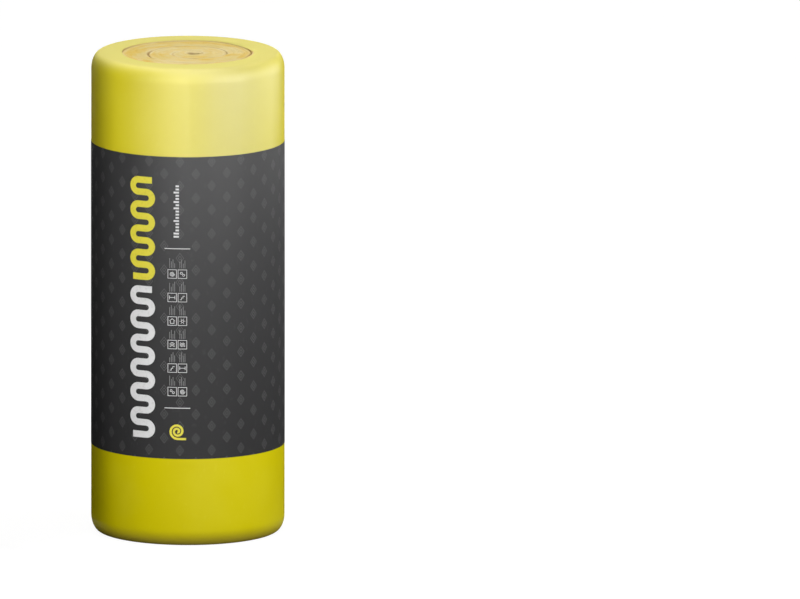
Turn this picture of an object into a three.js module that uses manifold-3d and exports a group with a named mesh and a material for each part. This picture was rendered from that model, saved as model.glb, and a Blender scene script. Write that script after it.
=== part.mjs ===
// A glass-wool insulation roll in its packaging film, standing on end.
//
// The pack is three pieces: a glass-wool mat wound up on itself, a tight film
// sleeve whose ends turn in over the shoulders of the roll and leave a round
// opening in each end, and a printed label band wrapped round the middle.
//
// Millimetres, +Z up. The origin is on the floor, at the centre of the lower end.
import * as THREE from "three";
import { mergeVertices } from "three/addons/utils/BufferGeometryUtils.js";
import Module from "manifold-3d";

const wasm = await Module();
wasm.setup();

// ---- Driving dimensions ----

// Wound mat
const MAT_WIDTH = 1200; // the mat's own width, which is the height of the roll
const WOOL_DIAMETER = 477; // wound and compressed
const TURN_THICKNESS = 62; // one compressed layer of the mat
const END_DISH = 4; // how far the turns inside the film's opening sit back
const DISH_SLOPE = 12; // radial run from the film's edge down to the dish
const SEAM_WIDTH = 3; // the gap between neighbouring turns, seen on the ends
const SEAM_DEPTH = 14; // below the dish

// Eye, the void that the first turn leaves. The winding is a little off centre.
const EYE_DIAMETER = 30;
const EYE_OFFSET = 14;
const SEAM_START = -27; // degrees from +X, where the seam leaves the eye

// Shoulders, where the tight film rounds the roll over
const SHOULDER_REACH = 22; // radial
const SHOULDER_DROP = 39; // along the roll

// Film sleeve
const FILM_GAUGE = 0.12;
const FILM_LIP = 53; // how far the film turns in over the flat of each end

// Label band
const LABEL_GAUGE = 0.15;
const LABEL_WIDTH = 760;

const LAYER_CLEARANCE = 0.3; // between one layer of the pack and the next

// ---- Resolution ----
const AROUND = 72; // facets round the roll, the same for every layer so that they nest
const AROUND_EYE = 24;
const SHOULDER_STEPS = 6; // facets over one shoulder
const SEAM_STEPS_PER_TURN = 36;

// ---- Sizes that follow ----
const woolRadius = WOOL_DIAMETER / 2;
const flatRadius = woolRadius - SHOULDER_REACH; // the flat of each end, inside its shoulder
const openingRadius = flatRadius - FILM_LIP;
const eyeRadius = EYE_DIAMETER / 2;
const halfWidth = MAT_WIDTH / 2;
const dishHeight = halfWidth - END_DISH;
const filmInside = LAYER_CLEARANCE; // layers are given by how far they lie outside the wool
const filmOutside = filmInside + FILM_GAUGE;
const labelInside = filmOutside + LAYER_CLEARANCE;
const labelOutside = labelInside + LABEL_GAUGE;

// ---- Finishes ----
const woolFinish = new THREE.MeshStandardMaterial({ color: 0xdfc688, roughness: 1, metalness: 0 });
const filmFinish = new THREE.MeshStandardMaterial({ color: 0xd4c41c, roughness: 0.45, metalness: 0 });
const labelFinish = new THREE.MeshStandardMaterial({ color: 0x464648, roughness: 0.6, metalness: 0 });

// ---- Helpers ----
// Every piece is made with the middle of the roll at zero height, so that its two
// ends mirror each other.

// A closed outline of [radius, height] pairs, turned round Z. The outline runs
// clockwise as seen with the axis on its left, which turns the faces outwards.
function turned(outline) {
  const closed = [...outline, outline[0]].reverse().map(([r, z]) => new THREE.Vector2(r, z));
  return new THREE.LatheGeometry(closed, AROUND).rotateX(Math.PI / 2);
}

// The upper shoulder of a layer, from its flat end out and down to its wall, as a
// quarter of an ellipse.
function upperShoulder(outside) {
  const arc = new THREE.EllipseCurve(
    flatRadius, halfWidth - SHOULDER_DROP,
    SHOULDER_REACH + outside, SHOULDER_DROP + outside,
    0, Math.PI / 2);
  return arc.getPoints(SHOULDER_STEPS).reverse().map((p) => [p.x, p.y]);
}

// The same points on the lower half, in the opposite order.
function mirrored(points) {
  return points.map(([r, z]) => [r, -z]).reverse();
}

function solidOf(geometry) {
  const bare = geometry.clone();
  bare.deleteAttribute("normal");
  bare.deleteAttribute("uv");
  const merged = mergeVertices(bare, 1e-3);
  return new wasm.Manifold(new wasm.Mesh({
    numProp: 3,
    vertProperties: merged.attributes.position.array,
    triVerts: new Uint32Array(merged.index.array),
  }));
}

function geometryOf(solid) {
  const { vertProperties, triVerts } = solid.getMesh();
  const geometry = new THREE.BufferGeometry();
  geometry.setAttribute("position", new THREE.BufferAttribute(new Float32Array(vertProperties), 3));
  geometry.setIndex(new THREE.BufferAttribute(new Uint32Array(triVerts), 1));
  geometry.computeVertexNormals();
  return geometry;
}

// ---- Wound mat ----

function woolBody() {
  const upper = [
    [0, dishHeight],
    [openingRadius - DISH_SLOPE, dishHeight],
    [openingRadius, halfWidth],
    ...upperShoulder(0),
  ];
  return turned([...upper, ...mirrored(upper)]);
}

function eyeCutter() {
  const eye = new THREE.CylinderGeometry(eyeRadius, eyeRadius, 2 * MAT_WIDTH, AROUND_EYE);
  return eye.rotateX(Math.PI / 2).translate(EYE_OFFSET, 0, 0);
}

// The seam between the turns, from height zero up: a thin band that winds out from
// the rim of the eye, one turn thickness a turn, and stays on the flat of the end.
function seamCutter(height) {
  const lastRadius = flatRadius - EYE_OFFSET - SEAM_WIDTH;
  const turns = (lastRadius - eyeRadius) / TURN_THICKNESS;
  const steps = Math.ceil(turns * SEAM_STEPS_PER_TURN);
  const edge = (shift) => Array.from({ length: steps + 1 }, (_, i) => {
    const turn = (turns * i) / steps;
    const angle = THREE.MathUtils.degToRad(SEAM_START) + 2 * Math.PI * turn;
    const radius = eyeRadius + TURN_THICKNESS * turn + shift;
    return new THREE.Vector2(EYE_OFFSET + radius * Math.cos(angle), radius * Math.sin(angle));
  });
  const band = new THREE.Shape([...edge(SEAM_WIDTH / 2), ...edge(-SEAM_WIDTH / 2).reverse()]);
  return new THREE.ExtrudeGeometry(band, { depth: height, bevelEnabled: false });
}

function woolRoll() {
  const seamFloor = dishHeight - SEAM_DEPTH;
  const cutHeight = SEAM_DEPTH + 2 * END_DISH; // runs out past the end
  const upperSeam = seamCutter(cutHeight).translate(0, 0, seamFloor);
  const lowerSeam = seamCutter(cutHeight).translate(0, 0, -seamFloor - cutHeight);
  return geometryOf([eyeCutter(), upperSeam, lowerSeam].reduce(
    (wool, cutter) => wool.subtract(solidOf(cutter)), solidOf(woolBody())));
}

// ---- Film sleeve ----

function filmSleeve() {
  const surface = (outside) => {
    const upper = [[openingRadius, halfWidth + outside], ...upperShoulder(outside)];
    return [...upper, ...mirrored(upper)];
  };
  return turned([...surface(filmOutside), ...surface(filmInside).reverse()]);
}

// ---- Label band ----

function labelBand() {
  const upper = [
    [woolRadius + labelInside, LABEL_WIDTH / 2],
    [woolRadius + labelOutside, LABEL_WIDTH / 2],
  ];
  return turned([...upper, ...mirrored(upper)]);
}

// ---- Assembly ----

const roll = new THREE.Group();
const pieces = [
  ["wool_roll", woolRoll(), woolFinish],
  ["film_sleeve", filmSleeve(), filmFinish],
  ["label_band", labelBand(), labelFinish],
];
for (const [name, geometry, finish] of pieces) {
  const piece = new THREE.Mesh(geometry, finish);
  piece.name = name;
  piece.position.z = halfWidth + filmOutside; // stands on the film's lower lip
  roll.add(piece);
}

export default roll;
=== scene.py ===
# %% [markdown]
# # A packed insulation roll
#
# The object is a mat of yellow glass wool, wound up tight and pulled into a sleeve of
# packaging film, with a dark printed band round its middle. It stands on one end. The
# solids of the pack are already there. This notebook gives each of them the surface and
# the finish of the real thing, and lights it like a product picture on white paper.
#
# All lengths are in metres, Z is up, and the roll stands on the floor at the origin.

import math
from types import SimpleNamespace

import bpy
import numpy as np
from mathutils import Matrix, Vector, noise


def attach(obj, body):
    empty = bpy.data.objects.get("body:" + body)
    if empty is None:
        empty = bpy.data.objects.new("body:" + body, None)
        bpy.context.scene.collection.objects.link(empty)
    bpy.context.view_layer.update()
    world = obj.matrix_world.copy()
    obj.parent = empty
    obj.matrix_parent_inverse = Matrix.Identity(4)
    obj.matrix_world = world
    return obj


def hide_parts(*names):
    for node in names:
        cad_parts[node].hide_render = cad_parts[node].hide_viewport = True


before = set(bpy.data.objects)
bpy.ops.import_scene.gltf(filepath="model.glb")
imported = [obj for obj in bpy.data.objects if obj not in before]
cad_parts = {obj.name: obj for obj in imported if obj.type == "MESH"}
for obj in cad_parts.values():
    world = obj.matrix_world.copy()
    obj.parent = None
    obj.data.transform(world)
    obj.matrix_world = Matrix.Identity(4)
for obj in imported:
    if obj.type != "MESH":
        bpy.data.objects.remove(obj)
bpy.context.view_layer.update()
MM = 0.001

print("solids:", ", ".join(sorted(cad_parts)))

# %% [markdown]
# ## Measure the solids
#
# Each solid is a turned shape, so a few radii and heights say everything about it. They
# could be typed in again, but then a change to the solids would leave the surfaces
# behind. Measuring the vertices keeps the two together.

# %% Radii and heights of a turned solid
SAME_LEVEL = 0.1 * MM


def turned_sizes(node):
    points = np.array([v.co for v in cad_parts[node].data.vertices])
    radius = np.hypot(points[:, 0], points[:, 1])
    height = points[:, 2]
    on_top = height > height.max() - SAME_LEVEL
    on_wall = radius > radius.max() - SAME_LEVEL
    return SimpleNamespace(
        radius=float(radius.max()),
        bore=float(radius.min()),
        flat=float(radius[on_top].max()),
        low=float(height.min()),
        high=float(height.max()),
        wall_high=float(height[on_wall].max()),
    )


film = turned_sizes("film_sleeve")
band = turned_sizes("label_band")
wool = turned_sizes("wool_roll")
shoulder_reach = film.radius - film.flat
shoulder_drop = film.high - film.wall_high
print("film:", {key: round(value, 4) for key, value in vars(film).items()})

# %% [markdown]
# ## The camera
#
# A long lens far away flattens a tall object, and an orthographic camera is the limit of
# that: upright sides stay upright and both ends get the same ellipse. It looks down by
# 10.6 degrees. The roll stands left of the middle, so the camera is moved sideways
# along its own right and up, and keeps looking the same way.

# %% Put an object in the scene
def add_object(name, data):
    thing = bpy.data.objects.new(name, data)
    bpy.context.scene.collection.objects.link(thing)
    return thing


# %% Camera
IMAGE_SIZE = (800, 599)
ROLL_CENTRE_PX = (187.9, 290.4)
IMAGE_WIDTH = 1.9794  # metres across the picture
CAMERA_ELEVATION = math.radians(10.6)
CAMERA_DISTANCE = 6.0


def make_camera():
    data = bpy.data.cameras.new("product_camera")
    data.type = "ORTHO"
    data.ortho_scale = IMAGE_WIDTH
    camera = add_object("product_camera", data)
    camera.rotation_euler = (math.pi / 2 - CAMERA_ELEVATION, 0, 0)
    pixel = IMAGE_WIDTH / IMAGE_SIZE[0]
    right = pixel * (IMAGE_SIZE[0] / 2 - ROLL_CENTRE_PX[0])
    up = pixel * (ROLL_CENTRE_PX[1] - IMAGE_SIZE[1] / 2)
    moved = camera.rotation_euler.to_matrix() @ Vector((right, up, CAMERA_DISTANCE))
    camera.location = moved + Vector((0, 0, film.high / 2))
    bpy.context.scene.camera = camera
    return camera


camera = make_camera()
print("camera at", [round(x, 3) for x in camera.location])

# %% [markdown]
# ## Grids of points
#
# Every surface here is a sheet bent round something: a film round a roll, a band round
# the film, ink on the band, a mat round its own eye. So one helper turns a table of
# points, rows by columns, into faces. Where a sheet has a front and a back, the table
# runs over the front, round the edge and along the back until it meets its own start,
# which leaves no open edge.

# %% Faces from a table of points
def grid(rows, columns, rows_meet=True, columns_meet=True):
    """The faces, and the row and column at which each of their corners is drawn.

    Where the last row meets the first, its faces reach row 0 again, but their corners
    are drawn one row further on, which is what a UV map needs. Columns do the same.
    """
    i = np.arange(rows if rows_meet else rows - 1)[:, None, None]
    j = np.arange(columns if columns_meet else columns - 1)[None, :, None]
    row, column = np.broadcast_arrays(i + np.array([0, 0, 1, 1]), j + np.array([0, 1, 1, 0]))
    drawn = np.stack([row, column], -1).reshape(-1, 4, 2)
    faces = (drawn[..., 0] % rows) * columns + drawn[..., 1] % columns
    return faces, drawn


def faces_in(points, faces):
    """True where a closed mesh of four-sided faces is inside out."""
    a, b, c, d = (points[faces[:, k]] for k in range(4))
    volume = np.sum(a * np.cross(b, c)) + np.sum(a * np.cross(c, d))
    return volume < 0


# %% Make a piece
SHARP_ANGLE = math.radians(50)


def make_piece(name, points, faces, maps=None, values=None, caps=()):
    """A closed mesh that rides on the roll, with UV maps and values at its points.

    A cap is one many-sided face that closes an end, given by its points in order.
    """
    points = points.reshape(-1, 3)
    if faces_in(points, faces):
        faces, caps = faces[:, ::-1], [cap[::-1] for cap in caps]
        maps = {key: uv[:, ::-1] for key, uv in (maps or {}).items()}
    mesh = bpy.data.meshes.new(name)
    mesh.from_pydata(points.tolist(), [], faces.tolist() + [cap.tolist() for cap in caps])
    for key, uv in (maps or {}).items():
        at_point = np.zeros((len(points), 2))
        at_point[faces.ravel()] = uv.reshape(-1, 2)
        corners = np.concatenate([uv.reshape(-1, 2)] + [at_point[cap] for cap in caps])
        mesh.uv_layers.new(name=key).data.foreach_set("uv", corners.ravel())
    for key, value in (values or {}).items():
        mesh.attributes.new(key, "FLOAT", "POINT").data.foreach_set("value", value.ravel())
    mesh.shade_smooth()
    mesh.set_sharp_from_angle(angle=SHARP_ANGLE)
    piece = add_object(name, mesh)
    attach(piece, "root")
    print(name, "has", len(mesh.polygons), "faces")
    return piece


def round_roll(angle, radius, height):
    """Points round the roll. Angle 0 is the front, at -Y, and grows towards +X."""
    angle, radius, height = np.broadcast_arrays(angle, radius, height)
    return np.stack([radius * np.sin(angle), -radius * np.cos(angle), height], -1)


# %% [markdown]
# A round surface made by maths alone looks dead, because it is too true. The film lies
# on soft wool, so its wall swells a little here and sinks a little there. A few long
# cosine waves with fixed random phases do that: they are smooth, they close on
# themselves round the roll, and the same call tells the band and the ink where the
# film's surface is.

# %% How the wall swells
SWELL = 0.3 * MM
SWELL_COUNT = 14
swell_draw = np.random.default_rng(7)
SWELL_TURNS = swell_draw.integers(2, 15, SWELL_COUNT)  # waves once round the roll
SWELL_WAVES = swell_draw.uniform(-6, 6, SWELL_COUNT)  # radians to the metre of height
SWELL_PHASES = swell_draw.uniform(0, 2 * math.pi, SWELL_COUNT)


def wall_swell(angle, height):
    """How far the wall stands out, from 0 to twice SWELL."""
    total = sum(
        np.cos(turns * angle + waves * height + phase)
        for turns, waves, phase in zip(SWELL_TURNS, SWELL_WAVES, SWELL_PHASES)
    )
    return SWELL * (1 + np.tanh(total / math.sqrt(SWELL_COUNT)))


# %% Soft steps, even steps and laps
def ease(x):
    """From 0 to 1 along a soft S, and flat beyond both."""
    x = np.clip(x, 0, 1)
    return x * x * (3 - 2 * x)


def even_steps(start, stop, size):
    """From start up to, but not at, stop."""
    count = max(1, round(abs(stop - start) / size))
    return np.linspace(start, stop, count, endpoint=False)


LAP_EDGE = 0.15 * MM  # half the run over which a lap's crisp edge drops
LAP_CLEAR = 5 * LAP_EDGE  # no other point comes nearer to it


def angles_with_lap(count, lap_at):
    """Angles round the roll, with two close ones for the crisp edge of a lap."""
    even = np.linspace(-math.pi, math.pi, count, endpoint=False)
    crisp = LAP_EDGE / film.radius
    clear = even[np.abs(even - lap_at) > LAP_CLEAR / film.radius]
    return np.sort(np.append(clear, [lap_at - crisp, lap_at + crisp]))


def lap(angle, lap_at, width):
    """1 over the width behind a lap's crisp edge, easing to 0 over half as much more."""
    behind = (lap_at - angle) * film.radius / width
    return np.where(behind >= 0, np.clip(3 - 2 * behind, 0, 1), 0)


# %% [markdown]
# ## The film sleeve
#
# The sleeve is a tube of polyethylene film that was pulled over the roll and shrunk. It
# rounds the soft edges of the wool into shoulders, lies flat on each end and stops in a
# round opening. Its edge draws together there, so it curls down onto the wool and
# leaves short soft pleats. A Screw modifier could turn the profile, but the pleats and
# the lap at the back differ from one angle to the next, so the points are worked out.

# %% The film's profile, from the edge of one opening to the edge of the other
LIP_STEP = 3 * MM
SHOULDER_STEPS = 16
WALL_STEP = 8 * MM
HIDDEN_STEP = 45 * MM
EDGE_CURL = 1.2 * MM
CURL_RUN = 9 * MM


def by_edge(radius, run):
    """1 at the edge of the film's opening, falling to 0 over a run."""
    return np.clip(1 - (radius - film.bore) / run, 0, 1) ** 2


def upper_profile():
    lip = even_steps(film.bore, film.flat, LIP_STEP)
    curl = EDGE_CURL * by_edge(lip, CURL_RUN)
    bend = np.linspace(0, math.pi / 2, SHOULDER_STEPS)
    above_band = band.high - WALL_STEP
    wall = np.concatenate([
        even_steps(film.wall_high, above_band, WALL_STEP)[1:],
        even_steps(above_band, film.high / 2, HIDDEN_STEP),
    ])
    radius = np.concatenate([
        lip,
        film.flat + shoulder_reach * np.sin(bend),
        np.full(wall.size, film.radius),
    ])
    height = np.concatenate([
        film.high - curl,
        film.wall_high + shoulder_drop * np.cos(bend),
        wall,
    ])
    return np.stack([radius, height], 1)


def film_profile():
    upper = upper_profile()
    lower = upper[::-1] * (1, -1) + (0, film.high)
    return np.concatenate([upper, lower])


profile = film_profile()
print("the film's profile has", len(profile), "points")

# %% Pleats, the wavering edge and the lap down the back
PLEAT_HEIGHT = 0.9 * MM
PLEAT_PRESSED = 0.3  # what is left of a pleat that the roll stands on
PLEAT_RUN = 34 * MM
PLEATS_ROUND = (29, 43, 61)
PLEAT_FILL = 0.4  # at 0 the pleats stand apart, at 1 they run together
EDGE_WAVER = 1.4 * MM
FILM_LAP_AT = math.radians(158)
FILM_LAP_WIDTH = 34 * MM
FILM_LAP_RISE = 0.4 * MM


def pleats(angle):
    """From 0 to about 1, gathered in some places and smooth in others."""
    folds = sum(np.cos(n * angle + 2 * np.sin(3 * angle + n)) for n in PLEATS_ROUND)
    gather = 0.5 + 0.5 * np.cos(2 * angle + 1) * np.cos(5 * angle)
    return gather * np.clip(PLEAT_FILL + folds / len(PLEATS_ROUND), 0, None)


def edge_waver(angle):
    return EDGE_WAVER * (np.cos(3 * angle + 1) + np.cos(7 * angle) + np.cos(11 * angle + 2)) / 3


# %% The tuck, where the edge of the opening draws deeper into the roll
TUCK_AT = math.radians(115)
TUCK_HALF_WIDTH = math.radians(44)
TUCK_DEPTH = 2.8 * MM
TUCK_IN = 3 * MM
TUCK_RUN = 15 * MM


def tuck(angle):
    return ease(1 - np.abs(angle - TUCK_AT) / TUCK_HALF_WIDTH)


# %% The film's two skins
FILM_GAUGE = 0.12 * MM
INNER_EVERY = 2  # the inner skin, which nobody sees, keeps every second row
FILM_AROUND = 360

film_angles = angles_with_lap(FILM_AROUND, FILM_LAP_AT)


def outward(outline):
    """Unit normals of a profile that runs over the top and down the outside."""
    along = np.gradient(outline, axis=0)
    along /= np.linalg.norm(along, axis=1, keepdims=True)
    return np.stack([-along[:, 1], along[:, 0]], 1)


def film_skin(rows, outer):
    outline, normals = profile[rows], outward(profile)[rows]
    angle = film_angles[None, :]
    radius, height = outline[:, :1], outline[:, 1:]
    upper = height > film.high / 2
    near_edge = by_edge(radius, PLEAT_RUN)
    fold = near_edge * PLEAT_HEIGHT * pleats(angle) * np.where(upper, 1, PLEAT_PRESSED)
    if outer:
        from_end = np.minimum(height, film.high - height)
        on_wall = np.clip(from_end / shoulder_drop, 0, 1) ** 2
        rise = FILM_LAP_RISE * lap(angle, FILM_LAP_AT, FILM_LAP_WIDTH)
        rise = on_wall * (rise + wall_swell(angle, height))
    else:
        rise = -FILM_GAUGE
    pulled = tuck(angle) * by_edge(radius, TUCK_RUN)
    inward = np.where(upper, -1, 1) * TUCK_DEPTH * pulled
    wavered = near_edge * edge_waver(angle) - TUCK_IN * pulled
    radius_out = radius + normals[:, :1] * rise + wavered
    height_out = height + normals[:, 1:] * rise + fold + inward
    return round_roll(angle, radius_out, height_out)


def make_film():
    there = np.arange(len(profile))
    back = np.append(there[:0:-INNER_EVERY], 0)
    points = np.concatenate([film_skin(there, True), film_skin(back, False)])
    faces, _ = grid(*points.shape[:2])
    return make_piece("packaging_film", points, faces)


film_piece = make_film()
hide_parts("film_sleeve")

# %% [markdown]
# ## The label band
#
# The band is a wide strip of printed film, wrapped once round the roll, with its two ends
# lapped at the back. It follows every swell of the film beneath it. For baking it gets a
# map of its own, OFBake: the band unrolled into a rectangle, which keeps the small pattern
# on it straight and evenly sharp.

# %% The band
BAND_GAUGE = 0.15 * MM
BAND_STEP = 20 * MM
BAND_AROUND = 384
BAND_LAP_AT = math.radians(171)
BAND_LAP_WIDTH = 40 * MM
BAND_LAP_RISE = 0.3 * MM
FRONT_SHARE = 0.94  # of the map, for the printed side
MAP_GAP = 0.01  # between the two sides on the map


def band_surface(angle, height):
    """The radius of the band's printed side."""
    rise = BAND_LAP_RISE * lap(angle, BAND_LAP_AT, BAND_LAP_WIDTH)
    return band.radius + wall_swell(angle, height) + rise


def make_band():
    angle = angles_with_lap(BAND_AROUND, BAND_LAP_AT)[None, :]
    front = np.append(even_steps(band.low, band.high, BAND_STEP), band.high)[:, None]
    back = front[::-1]
    points = np.concatenate([
        round_roll(angle, band_surface(angle, front), front),
        round_roll(angle, band_surface(angle, back) - BAND_GAUGE, back),
    ])
    faces, drawn = grid(*points.shape[:2])
    across = np.append(angle[0], angle[0, 0] + 2 * math.pi) / (2 * math.pi) + 0.5
    up = np.concatenate([
        np.linspace(0, FRONT_SHARE, len(front)),
        np.linspace(FRONT_SHARE + MAP_GAP, 1 - MAP_GAP, len(back)),
        [1],
    ])
    unrolled = np.stack([across[drawn[..., 1]], up[drawn[..., 0]]], -1)
    return make_piece("printed_band", points, faces, maps={"OFBake": unrolled})


band_piece = make_band()
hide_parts("label_band")

# %% [markdown]
# ## Ink on the band
#
# Print could be painted by the band's material, but then its edges would only be as sharp
# as the baked picture. Here each mark is a very thin raised shape instead, as screen ink
# is, and stays sharp at any distance. A mark is a path on the unrolled band, given a
# width: one helper widens the path, another bends the result round the roll.
#
# The marks are plain signs of the trade: a batt hatch, which is how a drawing shows
# insulation, framed pictograms with unreadable small print, two rules and the end view
# of a roll.

# %% Steps along a path and to its side
INK_STEP = 4.5 * MM


def with_steps(path, closed):
    """The path with points added, so that a long straight bends round the roll too."""
    after = np.roll(path, -1, 0) if closed else path[1:]
    points = []
    for start, stop in zip(path, after):
        count = math.ceil(np.linalg.norm(stop - start) / INK_STEP)
        points.extend(start + (stop - start) * k / count for k in range(count))
    return np.array(points if closed else points + [path[-1]])


def sideways(path, closed):
    """At each point, the step to the left that makes a stroke one unit wider."""
    ahead = np.roll(path, -1, 0) - path
    behind = np.roll(ahead, 1, 0)
    if not closed:
        ahead[-1] = behind[-1]
        behind[0] = ahead[0]
    ahead /= np.linalg.norm(ahead, axis=1, keepdims=True)
    behind /= np.linalg.norm(behind, axis=1, keepdims=True)
    along = ahead + behind
    along /= np.linalg.norm(along, axis=1, keepdims=True)
    left = np.stack([-along[:, 1], along[:, 0]], 1)
    return left / np.sum(along * ahead, axis=1, keepdims=True)


# %% Widen a path into a mark
INK_UNDER = 0.05 * MM
INK_OVER = 0.17 * MM


def stroke(path, width, closed=False):
    """A closed slab along a path of (across, up) points on the unrolled band."""
    path = with_steps(np.asarray(path, float), closed)
    count = math.ceil(width / INK_STEP) + 1
    offsets = np.linspace(-width / 2, width / 2, count)[None, :, None]
    flat = path[:, None, :] + sideways(path, closed)[:, None, :] * offsets
    angle, height = flat[..., 0] / band.radius, flat[..., 1]
    surface = band_surface(angle, height)
    over = round_roll(angle, surface + INK_OVER, height)
    under = round_roll(angle, surface + INK_UNDER, height)[:, ::-1]
    points = np.concatenate([over, under], 1)
    faces, _ = grid(*points.shape[:2], rows_meet=closed)
    if not closed:
        k = np.arange(count - 1)
        end = np.stack([k, k + 1, 2 * count - 2 - k, 2 * count - 1 - k], 1)
        faces = np.concatenate([end[:, ::-1], faces, end + (len(path) - 1) * 2 * count])
    points = points.reshape(-1, 3)
    return points, faces[:, ::-1] if faces_in(points, faces) else faces


def print_marks(name, marks):
    """One piece for all the marks of one ink."""
    starts = np.cumsum([0] + [len(points) for points, _ in marks])
    points = np.concatenate([points for points, _ in marks])
    faces = np.concatenate([faces + start for (_, faces), start in zip(marks, starts)])
    piece = make_piece(name, points, faces)
    return piece


def arc(centre, radius, start, stop, step=12):
    """Points on an arc, from angle to angle in degrees."""
    count = max(2, math.ceil(abs(stop - start) / step) + 1)
    turn = np.radians(np.linspace(start, stop, count))
    return np.stack([centre[0] + radius * np.cos(turn), centre[1] + radius * np.sin(turn)], 1)


# %% Places on the band
def across_at(degrees):
    """Distance along the unrolled band from the front of the roll."""
    return math.radians(degrees) * band.radius


HATCH_AT = across_at(-28.1)
COLUMN_AT = across_at(-6.3)

# %% The batt hatch: one thick line that runs to and fro
HATCH_LOW = 270 * MM
HATCH_HIGH = 927 * MM
HATCH_WIDTH = 69 * MM
HATCH_STROKE = 16.5 * MM
HATCH_GAP = 15 * MM
WHITE_RUNS = 13
YELLOW_RUNS = 9

hatch_span = HATCH_HIGH - HATCH_LOW - 2 * HATCH_STROKE - HATCH_GAP
runs_apart = hatch_span / (WHITE_RUNS + YELLOW_RUNS - 2)


def batt_hatch(start, runs):
    """A path of level runs, each joined to the next by a half circle."""
    bend = runs_apart / 2
    reach = (HATCH_WIDTH - HATCH_STROKE) / 2
    path = [(HATCH_AT - reach, start)]
    for run in range(runs - 1):
        side = (-1) ** run
        centre = (HATCH_AT + side * (reach - bend), start + (run + 0.5) * runs_apart)
        path.extend(arc(centre, bend, -90, -90 + side * 180))
    path.append((HATCH_AT - (-1) ** runs * reach, start + (runs - 1) * runs_apart))
    return stroke(path, HATCH_STROKE)


white_start = HATCH_LOW + HATCH_STROKE / 2
yellow_start = white_start + (WHITE_RUNS - 1) * runs_apart + HATCH_STROKE + HATCH_GAP
white_marks = [batt_hatch(white_start, WHITE_RUNS)]
yellow_marks = [batt_hatch(yellow_start, YELLOW_RUNS)]
print("runs are", round(runs_apart / MM, 1), "mm apart")

# %% Two rules, and a line of dashes between the upper one and the edge
RULE_HEIGHTS = (348.5 * MM, 749.7 * MM)
RULE_LENGTH = 64 * MM
RULE_WIDTH = 1.9 * MM
DASH_LOW = 780 * MM
DASH_HIGH = 907 * MM
DASH_COUNT = 17
DASH_WIDTH = 4.6 * MM
DASH_SHORT = 8.5 * MM
DASH_TALL = 13.5 * MM
TALL_DASHES = (0, 1, 5, 9, 11, 14)

for height in RULE_HEIGHTS:
    rule = [(COLUMN_AT - RULE_LENGTH / 2, height), (COLUMN_AT + RULE_LENGTH / 2, height)]
    white_marks.append(stroke(rule, RULE_WIDTH))

dash_foot = COLUMN_AT + DASH_SHORT / 2
for k, height in enumerate(np.linspace(DASH_LOW, DASH_HIGH, DASH_COUNT)):
    length = DASH_TALL if k in TALL_DASHES else DASH_SHORT
    white_marks.append(stroke([(dash_foot - length, height), (dash_foot, height)], DASH_WIDTH))

# %% Pictograms, drawn in a square that reaches from -1 to 1
SPIRAL_FROM = 0.12
RAY_FROM, RAY_TO = 0.62, 0.92


def circle(centre, radius):
    return arc(centre, radius, 0, 330, 30), True


def line(*points):
    return np.array(points, float), False


def wave(height):
    across = np.linspace(-0.85, 0.85, 13)
    return np.stack([across, height + 0.16 * np.sin(across * 7)], 1), False


def spiral(turns, radius):
    turn = np.linspace(0, 2 * math.pi * turns, math.ceil(16 * turns) + 1)
    grow = SPIRAL_FROM + (radius - SPIRAL_FROM) * turn / turn[-1]
    return np.stack([grow * np.sin(turn), -grow * np.cos(turn)], 1), False


def ray(angle):
    ahead = np.array([math.cos(angle), math.sin(angle)])
    return line(RAY_FROM * ahead, RAY_TO * ahead)


PICTOGRAMS = {
    "house": [
        line((-0.9, 0), (0, 0.8), (0.9, 0)),
        line((-0.6, 0), (-0.6, -0.8), (0.6, -0.8), (0.6, 0)),
    ],
    "roll": [spiral(2.25, 0.85)],
    "sound": [wave(0.45), wave(0), wave(-0.45)],
    "sun": [circle((0, 0), 0.4)] + [ray(angle) for angle in np.radians(range(0, 360, 60))],
    "layers": [line((-0.8, h), (0, h + 0.4), (0.8, h)) for h in (-0.7, -0.2, 0.3)],
    "width": [line((-0.9, 0), (0.9, 0))] + [line((x, -0.6), (x, 0.6)) for x in (-0.9, 0.9)],
    "steps": [line((-0.8, -0.7), (-0.3, -0.7), (-0.3, -0.1), (0.2, -0.1), (0.2, 0.5), (0.8, 0.5))],
    "air": [circle((-0.35, 0.3), 0.35), circle((0.4, -0.35), 0.35)],
}
PICTOGRAM_ROWS = (
    ("roll", "air"), ("width", "steps"), ("house", "sun"),
    ("layers", "sound"), ("steps", "width"), ("air", "roll"),
)

# %% A column of framed pictograms with small print over each
FIRST_ROW = 686 * MM
LAST_ROW = 390 * MM
FRAME_SIZE = 21.5 * MM
FRAME_WIDTH = 1.2 * MM
FRAMES_APART = 25.5 * MM
PICTOGRAM_SIZE = 7.5 * MM
PICTOGRAM_LINE = 1.2 * MM
PRINT_LINE = 1.2 * MM
PRINT_LINES = 4
PRINT_LINES_APART = 4.2 * MM
PRINT_LENGTHS = (25 * MM, 17 * MM, 22 * MM, 12 * MM, 20 * MM)
PRINT_CLEAR = 4 * MM

grey_marks = []


def framed_pictogram(name, across, up):
    half = FRAME_SIZE / 2
    corners = [(across + x * half, up + y * half) for x, y in ((-1, -1), (1, -1), (1, 1), (-1, 1))]
    white_marks.append(stroke(corners, FRAME_WIDTH, closed=True))
    for path, closed in PICTOGRAMS[name]:
        placed = path * PICTOGRAM_SIZE + (across, up)
        white_marks.append(stroke(placed, PICTOGRAM_LINE, closed))


def small_print(across, up, number):
    for k in range(PRINT_LINES):
        x = across + (k - (PRINT_LINES - 1) / 2) * PRINT_LINES_APART
        length = PRINT_LENGTHS[(number + k) % len(PRINT_LENGTHS)]
        grey_marks.append(stroke([(x, up), (x, up + length)], PRINT_LINE))


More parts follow.
